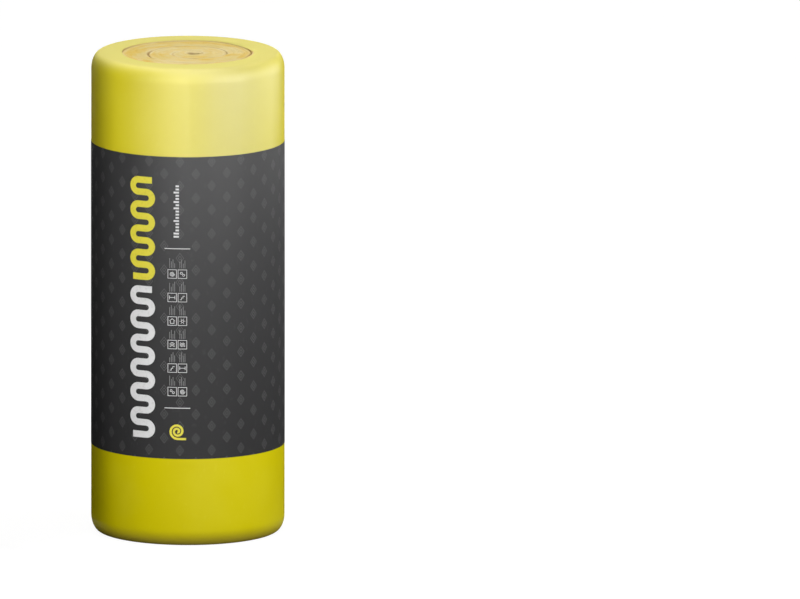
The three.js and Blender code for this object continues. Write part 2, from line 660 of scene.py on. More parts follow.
for row, up in enumerate(np.linspace(FIRST_ROW, LAST_ROW, len(PICTOGRAM_ROWS))):
    for column, name in enumerate(PICTOGRAM_ROWS[row]):
        across = COLUMN_AT + (column - 0.5) * FRAMES_APART
        framed_pictogram(name, across, up)
        small_print(across, up + FRAME_SIZE / 2 + PRINT_CLEAR, 2 * row + column)

# %% The end view of a roll, at the foot of the column
ROLL_SIGN_AT = 290 * MM
ROLL_SIGN_RADIUS = 19 * MM
ROLL_SIGN_STROKE = 5.5 * MM
ROLL_SIGN_TURNS = 2
ROLL_SIGN_TAIL = 1.15  # of its radius

sign, _ = spiral(ROLL_SIGN_TURNS, 1)
tail = sign[-1] + [[ROLL_SIGN_TAIL, 0]]
sign = np.concatenate([sign, tail]) * ROLL_SIGN_RADIUS + (COLUMN_AT, ROLL_SIGN_AT)
yellow_marks.append(stroke(sign, ROLL_SIGN_STROKE))

white_ink = print_marks("white_print", white_marks)
yellow_ink = print_marks("yellow_print", yellow_marks)
grey_ink = print_marks("grey_print", grey_marks)

# %% [markdown]
# ## The wound mat
#
# The mat starts at a small void, the eye, and winds outwards, one thickness further out
# with each turn. Where two turns touch, their rounded edges leave a dark seam. A flat
# disc with a spiral painted on it would give itself away at this low angle, so the mat
# is modelled as it is: one long strip with a rounded cross-section, swept along the
# spiral. What the film hides gets long faces, and the cut ends that show get fine ones.

# %% The spiral
EYE_AT = 14 * MM  # to the right of the roll's middle
EYE_RADIUS = 15 * MM
TURN = 62 * MM
SEAM_START = math.radians(-27)
SEAM_GAP_CLOSED, SEAM_GAP_OPEN = 0.2 * MM, 2.4 * MM
SEAM_WAVER = 1.6 * MM
# Where the turns part a little: turns from the start of the seam, and how far.
SEAM_PARTS = (
    (0.1, 0.8), (0.22, 0.6), (0.34, 0.3), (0.57, 0.1),
    (1.08, 0.6), (1.57, 0.9), (2.08, 0.8), (2.57, 0.5),
)
SEAM_PARTS_RUN = 0.1  # turns, to either side


def seam_radius(turns):
    """How far the seam lies from the eye's middle, so many turns after it starts."""
    waver = np.sin(turns * 11) + 0.7 * np.sin(turns * 23 + 1) + 0.5 * np.sin(turns * 41 + 2)
    return EYE_RADIUS + TURN * np.clip(turns, 0, None) + SEAM_WAVER * waver / 2.2


def seam_open(turns):
    """From 0, where two turns press together, to 1."""
    return sum(far * ease(1 - np.abs(turns - at) / SEAM_PARTS_RUN) for at, far in SEAM_PARTS)


def seam_gap(turns):
    return SEAM_GAP_CLOSED + (SEAM_GAP_OPEN - SEAM_GAP_CLOSED) * seam_open(turns)


# %% Stations along the mat
FIRST_STATION = -0.93  # in turns from where the seam starts
LAST_STATION = 3.47
FINE_STEP = 2.8 * MM
COARSE_STEP = 9 * MM


def mat_stations():
    """Turns, and distance along the mat, of each station."""
    turns, along = [FIRST_STATION], [0.0]
    while turns[-1] < LAST_STATION:
        inner = seam_radius(turns[-1])
        size = FINE_STEP if inner < film.bore + EYE_AT else COARSE_STEP
        turns.append(turns[-1] + size / (2 * math.pi * (inner + TURN / 2)))
        along.append(along[-1] + size)
    return np.array(turns)[:, None], np.array(along)[:, None]


stations, along_mat = mat_stations()
print("the mat has", len(stations), "stations on", round(float(along_mat[-1, 0]), 2), "m")

# %% Across the mat: a flat cut end with a rounded edge at each side
EDGE_CLOSED, EDGE_OPEN = 1.2 * MM, 3.4 * MM
EDGE_MOST = 0.45  # of the mat's thickness
EDGE_POINTS = 5
FACE_POINTS = 22
WALL_CLEAR = 0.3 * MM


def across_mat():
    """For each station: the inner radius, the thickness, where the points of the cut end
    lie from inside to outside, from 0 to 1, and how far the rounded edge drops there."""
    inner = seam_radius(stations) + seam_gap(stations) / 2
    outer = seam_radius(stations + 1) - seam_gap(stations + 1) / 2
    thickness = np.minimum(outer, wool.radius - WALL_CLEAR) - inner
    rounded = EDGE_CLOSED + (EDGE_OPEN - EDGE_CLOSED) * seam_open(stations)
    edge = np.minimum(rounded, EDGE_MOST * thickness)
    bend = np.linspace(0, math.pi / 2, EDGE_POINTS)
    corner = edge * (1 - np.cos(bend)) / thickness
    corner_drop = edge * (1 - np.sin(bend))
    middle = np.linspace(0, 1, FACE_POINTS + 2)[1:-1]
    middle = corner[:, -1:] + (1 - 2 * corner[:, -1:]) * middle
    place = np.concatenate([corner, middle, 1 - corner[:, ::-1]], 1)
    drop = np.concatenate([corner_drop, 0 * middle, corner_drop[:, ::-1]], 1)
    return inner, thickness, place, drop


# %% Height of the cut ends
DISH_DEPTH = 4 * MM
DISH_FROM = 148 * MM
DISH_TO = 172 * MM
POCKET_DEPTH = 1.0 * MM  # more, under the film's tuck
POCKET_REACH = 9 * MM
wool_reach = wool.radius - wool.flat
wool_drop = wool.high - wool.wall_high


def end_depth(radius, pocket):
    """How far the cut end lies below the roll's own end, at a distance from its axis."""
    over = np.clip((radius - wool.flat) / wool_reach, 0, 1)
    rises = ease((radius - DISH_FROM - POCKET_REACH * pocket) / (DISH_TO - DISH_FROM))
    dish = (DISH_DEPTH + POCKET_DEPTH * pocket) * (1 - rises)
    return dish + wool_drop * (1 - np.sqrt(1 - over ** 2))


# %% [markdown]
# Glass wool is laid down in thin layers, so its cut end is ribbed along the mat, with soft
# lumps where the knife pulled at it. Noise that is stretched along the mat and squeezed
# across it gives the ribs, and a rounder noise the lumps. Moving the points, rather than
# only the shading, matters here, because at a low angle the rims of the lumps show.

# %% Relief of the cut ends
CROWN = 1.6 * MM
RELIEF = (  # height, waves to the metre along the mat, and across it
    (1.6 * MM, 20, 34),
    (0.6 * MM, 26, 120),
    (0.4 * MM, 190, 260),
)
RELIEF_FROM = 160 * MM
RELIEF_FADE = 10 * MM
ENDS_APART = 10  # in the noise, so that the two ends differ


def end_relief(along, across, side):
    total = np.zeros(along.shape)
    for height, waves_along, waves_across in RELIEF:
        points = np.stack([along * waves_along, across * waves_across], -1).reshape(-1, 2)
        values = [noise.noise(Vector((x, y, ENDS_APART * side))) for x, y in points]
        total += height * np.reshape(values, along.shape)
    return total


# %% Sweep the section along the spiral
WALL_DEPTHS = np.array([4, 12, 50, 290]) * MM
WALL_CLOSES = np.array([0, 1, 1, 1])  # the turns touch below the rounded edge
DEEP_GAP = 0.4 * MM
CENTRE_FROM = 150 * MM
CENTRE_BY = 212 * MM
wool_middle = (wool.low + wool.high) / 2


def on_spiral(radius):
    """Points at a distance from the eye's middle, which further out is the roll's own."""
    angle = SEAM_START + 2 * math.pi * stations
    shift = EYE_AT * (1 - ease((radius - CENTRE_FROM) / (CENTRE_BY - CENTRE_FROM)))
    return np.stack([shift + radius * np.cos(angle), radius * np.sin(angle)], -1)


def cut_end(side):
    """The points of the upper cut end, side 1, or the lower one, side -1."""
    inner, thickness, place, drop = across_mat()
    flat = on_spiral(inner + place * thickness)
    radius = np.linalg.norm(flat, axis=-1)
    shown = np.clip((RELIEF_FROM - radius) / RELIEF_FADE, 0, 1)
    relief = end_relief(np.broadcast_to(along_mat, place.shape), place * thickness, side)
    crown = CROWN * (1 - (2 * place - 1) ** 4)
    pocket = tuck(np.arctan2(flat[..., 0], -flat[..., 1]))
    depth = end_depth(radius, pocket) + drop - shown * (crown + relief)
    height = wool_middle + side * (wool.high - wool_middle - depth)
    return np.concatenate([flat, height[..., None]], -1)


def mat_wall(radius, turns, upper, lower, side):
    """The points down the outer face of the mat, side 1, or the inner one, side -1."""
    close = np.concatenate([WALL_CLOSES, WALL_CLOSES[::-1]]) * (seam_gap(turns) - DEEP_GAP) / 2
    flat = on_spiral(np.minimum(radius + side * close, wool.radius - WALL_CLEAR))
    height = np.concatenate([upper - WALL_DEPTHS, (lower + WALL_DEPTHS)[:, ::-1]], 1)
    return np.concatenate([flat, height[..., None]], -1)


# %% The mat, with the painted shade of its seams kept at its points
SHADE_RUN = 4 * MM  # how far the painted shade of a seam reaches
SHADE_CLOSED = 0.3  # how dark the painted shade is where the turns press together


def make_mat():
    inner, thickness, place, _ = across_mat()
    top, bottom = cut_end(1), cut_end(-1)
    outside = mat_wall(inner + thickness, stations + 1, top[:, -1:, 2], bottom[:, -1:, 2], 1)
    inside = mat_wall(inner, stations, top[:, :1, 2], bottom[:, :1, 2], -1)
    points = np.concatenate([top, outside, bottom[:, ::-1], inside[:, ::-1]], 1)
    rows, columns = points.shape[:2]
    faces, _ = grid(rows, columns, rows_meet=False)
    wall = np.zeros(outside.shape[:2])
    across = np.concatenate([place, wall + 1, place[:, ::-1], wall], 1) * thickness
    from_seam = np.minimum(across, thickness - across)
    opening = np.where(across < thickness / 2, seam_open(stations), seam_open(stations + 1))
    # painted shade inside the seams, stronger where a seam gapes
    shade = SHADE_CLOSED + (1 - SHADE_CLOSED) * opening
    shade = shade * ease(1 - from_seam / SHADE_RUN)
    along = np.broadcast_to(along_mat, across.shape)
    unwound = np.stack([along, across], -1).reshape(-1, 2)
    section = np.arange(columns)
    return make_piece(
        "wound_mat", points, faces,
        maps={"unwound": unwound[faces]},
        values={"from_seam": from_seam, "seam_shade": shade},
        caps=[section[::-1], section + (rows - 1) * columns],
    )


mat_piece = make_mat()
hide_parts("wool_roll")

# %% [markdown]
# ## Node helpers
#
# A material is a small graph, and a few helpers keep it readable. One adds a node and
# fills or links its inputs, others make the nodes that come up again and again, and the
# last two make a node group with named sockets and place it. A group is built once and
# placed in each material with its own values, so an effect such as handling marks looks
# alike on every piece that has it.

# %% Add a node and fill its inputs
def fill(tree, sockets, values):
    """Links each socket to the node output that is given for it, or sets its value."""
    for name, value in values.items():
        if isinstance(value, bpy.types.NodeSocket):
            tree.links.new(value, sockets[name])
        else:
            sockets[name].default_value = value


def add(tree, kind, inputs=None, **settings):
    node = tree.nodes.new(kind if kind.startswith("Node") else "ShaderNode" + kind)
    for name, value in settings.items():
        setattr(node, name, value)
    fill(tree, node.inputs, inputs or {})
    return node


# %% The nodes that come up again and again
def math_of(tree, operation, *values):
    return add(tree, "Math", dict(enumerate(values)), operation=operation).outputs[0]


def sum_of(tree, total, *parts):
    """total + value * share, for each part (value, share)."""
    for value, share in parts:
        total = math_of(tree, "MULTIPLY_ADD", value, share, total)
    return total


def remap(tree, value, low, high, to_low=0.0, to_high=1.0):
    ends = {"From Min": low, "From Max": high, "To Min": to_low, "To Max": to_high}
    node = add(tree, "MapRange", {"Value": value, **ends}, interpolation_type="SMOOTHSTEP")
    return node.outputs["Result"]


# A Mix node's numbers, vectors and colours share their names, so colours go by position.
COLOUR_A, COLOUR_B, COLOUR_RESULT = 6, 7, 2


def mix_colour(tree, factor, first, second):
    inputs = {"Factor": factor, COLOUR_A: first, COLOUR_B: second}
    return add(tree, "Mix", inputs, data_type="RGBA").outputs[COLOUR_RESULT]


def stretch(tree, where, scale, turn=(0, 0, 0)):
    return add(tree, "Mapping", {"Vector": where, "Rotation": turn, "Scale": scale}).outputs[0]


def cloud(tree, where, scale, detail, distortion=0.0):
    """Noise with so many lumps to the metre."""
    inputs = {"Vector": where, "Scale": scale, "Detail": detail, "Distortion": distortion}
    return add(tree, "TexNoise", inputs).outputs["Fac"]


def solid_place(tree):
    return add(tree, "TexCoord").outputs["Object"]


def height_of(tree, where):
    return add(tree, "SeparateXYZ", {"Vector": where}).outputs["Z"]


# %% Make a group and place it
def new_group(name, inputs, outputs):
    """A group with sockets {name: default} in and [names] out, and its two end nodes."""
    group = bpy.data.node_groups.new(name, "ShaderNodeTree")
    for socket, default in inputs.items():
        kind = "NodeSocketVector" if default is None else "NodeSocketFloat"
        made = group.interface.new_socket(socket, in_out="INPUT", socket_type=kind)
        if default is not None:
            made.default_value = default
    for socket in outputs:
        group.interface.new_socket(socket, in_out="OUTPUT", socket_type="NodeSocketFloat")
    return group, add(group, "NodeGroupInput").outputs, add(group, "NodeGroupOutput").inputs


def place(tree, group, inputs):
    return add(tree, "Group", inputs, node_tree=group).outputs


# %% [markdown]
# ## Effects that more than one material uses
#
# Thin film is never quite even. It carries smudges and faint scuffs from being handled,
# and it is drawn out in long soft streaks in the direction it was pulled. Both effects
# are on the sleeve and on the band, and the ink is handled with them, so each is a group.

# %% Group: handling marks
SMUDGE_EDGE = 0.42, 0.68  # the noise from which a smudge begins and is full
SCUFF_EDGE = 0.6, 0.72
SCUFF_TURN, SCUFF_STRETCH = (0.5, 0.3, 0.9), (1, 5, 1)


def handling_group():
    group, given, result = new_group(
        "handling_marks", {"Vector": None, "Smudges": 7.0, "Scuffs": 60.0}, ["Smudge", "Scuff"])
    smudge = cloud(group, given["Vector"], given["Smudges"], 3.0)
    bent = stretch(group, given["Vector"], SCUFF_STRETCH, SCUFF_TURN)
    scuff = cloud(group, bent, given["Scuffs"], 5.0)
    fill(group, result, {
        "Smudge": remap(group, smudge, *SMUDGE_EDGE),
        "Scuff": remap(group, scuff, *SCUFF_EDGE),
    })
    return group


# %% Group: drawn film, long soft streaks with a fine crinkle on them
STREAK_STRETCH = (1, 1, 0.09)
CRINKLES = 240.0


def drawn_film_group():
    group, given, result = new_group(
        "drawn_film", {"Vector": None, "Streaks": 26.0, "Crinkle": 0.1}, ["Height"])
    pulled = stretch(group, given["Vector"], STREAK_STRETCH)
    streak = cloud(group, pulled, given["Streaks"], 2.0)
    fine = cloud(group, given["Vector"], CRINKLES, 2.0)
    fill(group, result, {"Height": sum_of(group, streak, (fine, given["Crinkle"]))})
    return group


handling = handling_group()
drawn_film = drawn_film_group()

# %% [markdown]
# ## Packaging film
#
# The film is a strong yellow with almost no blue. What pales it is gloss: one broad soft
# highlight lies over its upper part and fades downwards. So the gloss is a coat that
# grows with height, over a base that hardly shines. A base colour that pales with height
# would do for one view, but look painted from the others.
#
# Any gloss mirrors nearly everything where it is seen flat along the surface, and a lamp
# met there burns out to white. Past a limit, the coat's weight is divided by its own
# Fresnel share, so the edge of the roll keeps its yellow from every side.
#
# Tight film gathers as it rounds a shoulder, and there it is matt and keeps little of the
# coat. Its colour is painted paler there, a painted highlight in place of that gloss.
# Towards the foot the colour is painted darker, a painted shade where the roll meets the
# floor, and the film is duller there. Smudges make the film a touch rougher and paler, and
# long streaks tilt the highlight.

# %% Give a piece its material
def dress(piece, name, look, *given):
    """look(tree, *given) returns a value or a node's output for each socket it sets."""
    material = bpy.data.materials.new(name)
    material.use_nodes = True
    tree = material.node_tree
    fill(tree, tree.nodes["Principled BSDF"].inputs, look(tree, *given))
    piece.data.materials.append(material)
    print(name, "has", len(tree.nodes), "nodes")


def bump(tree, height, depth):
    return add(tree, "Bump", {"Height": height, "Distance": depth}).outputs["Normal"]


# %% The film's coat, which lifts the band's upper end too
GLOSS_FROM, GLOSS_TO = 0.2, 1.0  # heights between which the coat grows
COAT_ROUGHNESS = 0.52
COAT_IOR = 1.7


def upper_gloss(tree, where, most):
    """A coat's weight, which grows from nothing near the foot to its most near the top."""
    return remap(tree, height_of(tree, where), GLOSS_FROM, GLOSS_TO, 0.0, most)


def coat(weight):
    return {"Coat Weight": weight, "Coat Roughness": COAT_ROUGHNESS, "Coat IOR": COAT_IOR}


# %% The film's colours
FILM_YELLOW = (0.62, 0.535, 0.0, 1)
FILM_PALE = (0.67, 0.595, 0.02, 1)
# painted highlight: the gathered film on the shoulders and flat ends is painted paler, in place of
# the coat's gloss that is taken away there
FILM_ENDS_HIGHLIGHT = (0.87, 0.78, 0.21, 1)
# painted shade: the film is coloured darker towards the foot, where the roll meets the floor
FILM_FOOT_SHADE = (0.30, 0.23, 0.012, 1)
SMUDGE_PALES, SCUFF_PALES = 0.35, 0.2
GATHER_RUN = 22 * MM  # how far in from the wall the gathers take to close up
FOOT_SHADE_TO = 45 * MM  # how far up the foot the painted shade reaches
FOOT_SHADE_MOST = 0.85


def gathered_share(tree, where):
    """How far the film has come over a shoulder: 0 on the wall, 1 on the flat of an end."""
    level = add(tree, "VectorMath", {0: where, 1: (1, 1, 0)}, operation="MULTIPLY").outputs[0]
    radius = add(tree, "VectorMath", {0: level}, operation="LENGTH").outputs["Value"]
    return remap(tree, radius, film.radius, film.radius - GATHER_RUN)


def film_colour(tree, smudge, scuff, gathered, foot_shade):
    paler = sum_of(tree, 0.0, (smudge, SMUDGE_PALES), (scuff, SCUFF_PALES))
    colour = mix_colour(tree, paler, FILM_YELLOW, FILM_PALE)
    # painted highlight on the gathered shoulders and ends
    colour = mix_colour(tree, gathered, colour, FILM_ENDS_HIGHLIGHT)
    # painted shade towards the foot
    return mix_colour(tree, foot_shade, colour, FILM_FOOT_SHADE)


# %% The film's gloss
FILM_ROUGHNESS = 0.42
SMUDGE_DULLS, GATHER_DULLS, FOOT_DULLS, SCUFF_DULLS = 0.04, 0.4, 0.5, 0.08
GATHERED_GLOSS = 0.1  # what is left of the coat where the film is gathered
COAT_MOST = 0.12  # the most that the film's coat mirrors, however flat it is seen


def film_coat(tree, where, gathered):
    left = sum_of(tree, 1.0, (gathered, GATHERED_GLOSS - 1))
    mirrored = add(tree, "Fresnel", {"IOR": COAT_IOR}).outputs["Fac"]
    bounded = math_of(tree, "MINIMUM", math_of(tree, "DIVIDE", COAT_MOST, mirrored), 1.0)
    left = math_of(tree, "MULTIPLY", left, bounded)
    return math_of(tree, "MULTIPLY", upper_gloss(tree, where, 1.0), left)


# %% The film's material
FILM_SHINE = 0.1
FILM_BUMP = 0.4 * MM


def film_look(tree):
    where = solid_place(tree)
    smudge, scuff = place(tree, handling, {"Vector": where, "Smudges": 5.0, "Scuffs": 45.0})
    gathered = gathered_share(tree, where)
    # painted shade at the foot, strongest at the floor; the film is also duller there
    foot_shade = remap(tree, height_of(tree, where), FOOT_SHADE_TO, 0.0, 0.0, FOOT_SHADE_MOST)
    (height,) = place(tree, drawn_film, {"Vector": where})
    return {
        "Base Color": film_colour(tree, smudge, scuff, gathered, foot_shade),
        "Roughness": sum_of(
            tree, FILM_ROUGHNESS, (smudge, SMUDGE_DULLS), (gathered, GATHER_DULLS),
            (foot_shade, FOOT_DULLS), (scuff, SCUFF_DULLS)),
        "Specular IOR Level": FILM_SHINE,
        "Normal": bump(tree, height, FILM_BUMP),
        **coat(film_coat(tree, where, gathered)),
    }


dress(film_piece, "packaging_film", film_look)

# %% [markdown]
# ## Printed band
#
# The band is printed dark grey all over, with a small diamond repeated in a slightly
# lighter, glossier tone. The diamonds sit in columns, every second column half a step
# lower. Their pattern is worked out from the angle round the roll and the height, so it
# needs no picture: the distance to the outline of a diamond is |x| / a + |z| / b - 1.
# A little of the film's coat lifts the upper end of the band.

# %% Staggered diamonds
MOTIF_COLUMNS = 38
MOTIF_STEP = 60.5 * MM
MOTIF_HALF_WIDTH = 9.5 * MM
MOTIF_HALF_HEIGHT = 12.5 * MM
MOTIF_INNER = 0.42  # the size of the inner diamond in the outer one
MOTIF_LINE = 1.9 * MM
LINE_FADE = 0.5  # how far a line's edge fades to either side, in half lines


def diamond_lines(tree, where):
    """1 on the lines of the diamonds and 0 between them."""
    def calc(operation, *values):
        return math_of(tree, operation, *values)

    def from_middle(cell, size, half):
        """How far from the middle of its cell, in halves of the motif."""
        away = calc("ABSOLUTE", calc("SUBTRACT", calc("FRACT", cell), 0.5))
        return calc("MULTIPLY", away, size / half)

    def from_outline(reach, outline):
        return calc("ABSOLUTE", calc("SUBTRACT", reach, outline))

    x, y, z = add(tree, "SeparateXYZ", {"Vector": where}).outputs
    angle = calc("ARCTAN2", x, calc("MULTIPLY", y, -1.0))
    column = calc("MULTIPLY", angle, MOTIF_COLUMNS / (2 * math.pi))
    stagger = calc("MULTIPLY", calc("PINGPONG", calc("FLOOR", column), 1.0), 0.5)
    row = calc("ADD", calc("DIVIDE", z, MOTIF_STEP), stagger)
    across = from_middle(column, 2 * math.pi * band.radius / MOTIF_COLUMNS, MOTIF_HALF_WIDTH)
    reach = calc("ADD", across, from_middle(row, MOTIF_STEP, MOTIF_HALF_HEIGHT))
    nearest = calc("MINIMUM", from_outline(reach, 1.0), from_outline(reach, MOTIF_INNER))
    half_line = MOTIF_LINE / 2 / MOTIF_HALF_WIDTH
    return remap(tree, nearest, half_line * (1 + LINE_FADE), half_line * (1 - LINE_FADE))


# %% The band's material
BAND_GREY = (0.0305, 0.0303, 0.031, 1)
MOTIF_GREY = (0.086, 0.084, 0.086, 1)
SCUFF_SHOWS = 0.12  # how far a scuff brings out the motif's grey
BAND_ROUGHNESS, BAND_SHINE, BAND_COAT = 0.5, 0.1, 0.24
BAND_SMUDGE_DULLS, MOTIF_POLISH = 0.06, -0.1
BAND_BUMP = 0.3 * MM


def band_look(tree):
    where = solid_place(tree)
    line = diamond_lines(tree, where)
    smudge, scuff = place(tree, handling, {"Vector": where, "Smudges": 6.0, "Scuffs": 50.0})
    tone = sum_of(tree, line, (scuff, SCUFF_SHOWS))
    (height,) = place(tree, drawn_film, {"Vector": where, "Streaks": 20.0})
    return {
        "Base Color": mix_colour(tree, tone, BAND_GREY, MOTIF_GREY),
        "Roughness": sum_of(
            tree, BAND_ROUGHNESS, (smudge, BAND_SMUDGE_DULLS), (line, MOTIF_POLISH)),
        "Specular IOR Level": BAND_SHINE,
        "Normal": bump(tree, height, BAND_BUMP),
        **coat(upper_gloss(tree, where, BAND_COAT)),
    }


dress(band_piece, "printed_band", band_look)

# %% [markdown]
# ## Ink
#
# Flat ink covers a little unevenly and picks up tiny pinholes. One function makes all
# three inks, because only the colour differs.

# %% The three inks
INK_WHITE = (0.72, 0.72, 0.72, 1)
INK_YELLOW = (0.72, 0.64, 0.05, 1)
INK_GREY = (0.24, 0.24, 0.24, 1)
INK_THIN = 0.86  # how much of the colour is left where the ink is thin
INK_GRAIN = 160.0  # lumps to the metre
THIN_EDGE = 0.5, 0.75  # the noise from which it thins, and is thin
INK_ROUGHNESS, INK_SHINE = 0.48, 0.35
INK_SMUDGE_DULLS = 0.06
INK_BUMP = 0.05 * MM


def ink_look(tree, colour):
    where = solid_place(tree)
    cover = cloud(tree, where, INK_GRAIN, 4.0)
    thin = tuple(INK_THIN * c for c in colour[:3]) + (1,)
    smudge, _ = place(tree, handling, {"Vector": where, "Smudges": 6.0})
    return {
        "Base Color": mix_colour(tree, remap(tree, cover, *THIN_EDGE), colour, thin),
        "Roughness": sum_of(tree, INK_ROUGHNESS, (smudge, INK_SMUDGE_DULLS)),
        "Specular IOR Level": INK_SHINE,
        "Normal": bump(tree, cover, INK_BUMP),
    }


dress(white_ink, "white_ink", ink_look, INK_WHITE)
dress(yellow_ink, "yellow_ink", ink_look, INK_YELLOW)
dress(grey_ink, "grey_ink", ink_look, INK_GREY)

# %% [markdown]
# ## Glass wool
#
# Glass wool is a felt of fine fibres held by a binder, which colours it from cream where
# it is thin to saffron where it gathered. Loose fibres on a cut end make it paler still.
# Light goes a little way into it, so it has no highlight, only a soft sheen. The colour
# is mixed from patches and layers drawn along the mat. A painted highlight pales the
# crest beside each seam, and painted shade darkens the seams themselves, more where a
# seam gapes and less where the turns press together.

# %% Layers and fibres, on a map of the unwound mat
LAYERS, FIBRES = 120.0, 900.0  # to the metre
LAID, COMBED = (0.3, 1, 1), (0, 0, 0.2)  # drawn out along the mat, and turned across it
LAYER_WARP = 0.6
LAYER_EDGE = 0.3, 0.7


def layer_and_fibre(tree, unwound):
    layer = cloud(tree, stretch(tree, unwound, LAID), LAYERS, 5.0, LAYER_WARP)
    fibre = cloud(tree, stretch(tree, unwound, LAID, COMBED), FIBRES, 3.0)
    return remap(tree, layer, *LAYER_EDGE), fibre


# %% The wool's colours
WOOL_CREAM = (0.86, 0.66, 0.21, 1)
WOOL_SAFFRON = (0.85, 0.57, 0.055, 1)
WOOL_PALE = (0.93, 0.77, 0.38, 1)
WOOL_SEAM_SHADE = (0.55, 0.275, 0.037, 1)
CREST_HIGHLIGHT_FROM, CREST_HIGHLIGHT_TO = 11 * MM, 4 * MM  # painted highlight on the crest beside a seam
CREST_HIGHLIGHT_PALES, LAYER_PALES, DRY_PALES = 0.4, 0.3, 0.4
PATCH_DRAWN = (0.35, 1, 1)
PATCHES, DRY_SPOTS, SEAM_BREAKS = 30.0, 9.0, 15.0  # to the metre
PATCH_EDGE, DRY_EDGE, BREAK_EDGE = (0.44, 0.6), (0.48, 0.6), (0.4, 0.6)
SEAM_LEAST = 0.5  # what is left of the seam's painted shade where it breaks


def point_value(tree, name):
    return add(tree, "Attribute", attribute_name=name).outputs["Fac"]


def wool_colour(tree, where, unwound, layer):
    patch = cloud(tree, stretch(tree, unwound, PATCH_DRAWN), PATCHES, 4.0)
    colour = mix_colour(tree, remap(tree, patch, *PATCH_EDGE), WOOL_CREAM, WOOL_SAFFRON)
    # painted highlight: the crest beside each seam is painted paler
    crest_highlight = remap(tree, point_value(tree, "from_seam"), CREST_HIGHLIGHT_FROM, CREST_HIGHLIGHT_TO, 0.0, CREST_HIGHLIGHT_PALES)
    dry = remap(tree, cloud(tree, where, DRY_SPOTS, 2.0), *DRY_EDGE)
    pale = sum_of(tree, crest_highlight, (layer, LAYER_PALES), (dry, DRY_PALES))
    colour = mix_colour(tree, pale, colour, WOOL_PALE)
    # painted shade in the seams, broken up by noise
    broken = remap(tree, cloud(tree, where, SEAM_BREAKS, 1.0), *BREAK_EDGE, SEAM_LEAST, 1.0)
    seam_shading = math_of(tree, "MULTIPLY", point_value(tree, "seam_shade"), broken)
    return mix_colour(tree, seam_shading, colour, WOOL_SEAM_SHADE)


# %% The wool's material
WOOL_SHINE = {
    "Roughness": 0.95, "Specular IOR Level": 0.2,
    "Sheen Weight": 0.2, "Sheen Roughness": 0.5, "Sheen Tint": (1, 0.85, 0.55, 1),
}
LAYER_RISE = 0.6  # of a fibre's
WOOL_BUMP = 1.0 * MM


def wool_look(tree):
    unwound = add(tree, "UVMap", uv_map="unwound").outputs["UV"]
    layer, fibre = layer_and_fibre(tree, unwound)
    height = sum_of(tree, fibre, (layer, LAYER_RISE))
    return {
        "Base Color": wool_colour(tree, solid_place(tree), unwound, layer),
        "Normal": bump(tree, height, WOOL_BUMP),
        **WOOL_SHINE,
    }


dress(mat_piece, "glass_wool", wool_look)

# %% [markdown]
# ## Floor
#
# A sheet of white paper, much larger than the view. To the camera and in reflections it
# also gives off some light of its own, so that it comes out white without strong lamps,
# and it still takes the roll's soft shadow. From below it lets the view through.

# %% Floor
FLOOR_HALF = 20.0
FLOOR_PAPER = (0.1, 0.1, 0.1, 1)
GLOW_AT_ROLL = 0.94  # the lit paper adds the rest
GLOW_NEAR, GLOW_FAR = 0.7, 1.6  # metres from the roll, between which the glow grows to 1


def shown_rays(tree):
    """1 for rays from the camera, from gloss and through glass, which see the backdrop."""
    path = add(tree, "LightPath").outputs
    seen = math_of(tree, "MAXIMUM", path["Is Camera Ray"], path["Is Glossy Ray"])
    return math_of(tree, "MAXIMUM", seen, path["Is Transmission Ray"])


def floor_material():
    material = bpy.data.materials.new("paper_floor")
    material.use_nodes = True
    tree = material.node_tree
    tree.nodes.remove(tree.nodes["Principled BSDF"])
    paper = add(tree, "BsdfDiffuse", {"Color": FLOOR_PAPER})
    away = add(tree, "VectorMath", {0: solid_place(tree)}, operation="LENGTH")
    glow = remap(tree, away.outputs["Value"], GLOW_NEAR, GLOW_FAR, GLOW_AT_ROLL, 1.0)
    glow = add(tree, "Emission", {"Strength": math_of(tree, "MULTIPLY", shown_rays(tree), glow)})
    lit = add(tree, "AddShader", {0: paper.outputs[0], 1: glow.outputs[0]})
    below = add(tree, "NewGeometry").outputs["Backfacing"]
    clear = add(tree, "BsdfTransparent")
    mixed = add(tree, "MixShader", {0: below, 1: lit.outputs[0], 2: clear.outputs[0]})
    fill(tree, tree.nodes["Material Output"].inputs, {"Surface": mixed.outputs[0]})
    return material


def rectangle(name, left, right, front, back):
    mesh = bpy.data.meshes.new(name)
    corners = [(left, front, 0), (right, front, 0), (right, back, 0), (left, back, 0)]
    mesh.from_pydata(corners, [], [(0, 1, 2, 3)])
    return mesh


def make_floor():
    mesh = rectangle("floor", -FLOOR_HALF, FLOOR_HALF, -FLOOR_HALF, FLOOR_HALF)
    mesh.materials.append(floor_material())
    floor = add_object("floor", mesh)


make_floor()

# %% [markdown]
# ## Light
#
# The lamps come in two sets. The body boxes light the stuff the pack is made of and do
# not show in its gloss: one low in front, one at each side, one behind and one overhead.
# The gloss panels light nothing but gloss. Three stand side by side round the upper part
# of the roll, so close that their reflections join into one smooth highlight, two higher
# ones carry it on over the shoulder, and a weak one is for the back. So the colour and
# the highlight can each be set without touching the other.
#
# Two black cards take light away. A glossy wall mirrors the white room where it turns
# away, and its outline would melt into the background, so a curtain round the sides and
# the back keeps it dark. A flag, close to the left edge, shades it from the left box: the
# roll falls off there faster than a lamp alone could make it.

# %% Lamps
def place_facing(thing, azimuth, distance, height, aim_height):
    """Puts a lamp or a card round the roll. Azimuth 0 is in front, 90 on the right."""
    angle = math.radians(azimuth)
    thing.location = (distance * math.sin(angle), -distance * math.cos(angle), height)
    to_roll = Vector((0, 0, aim_height)) - thing.location
    thing.rotation_euler = to_roll.to_track_quat("-Z", "Y").to_euler()


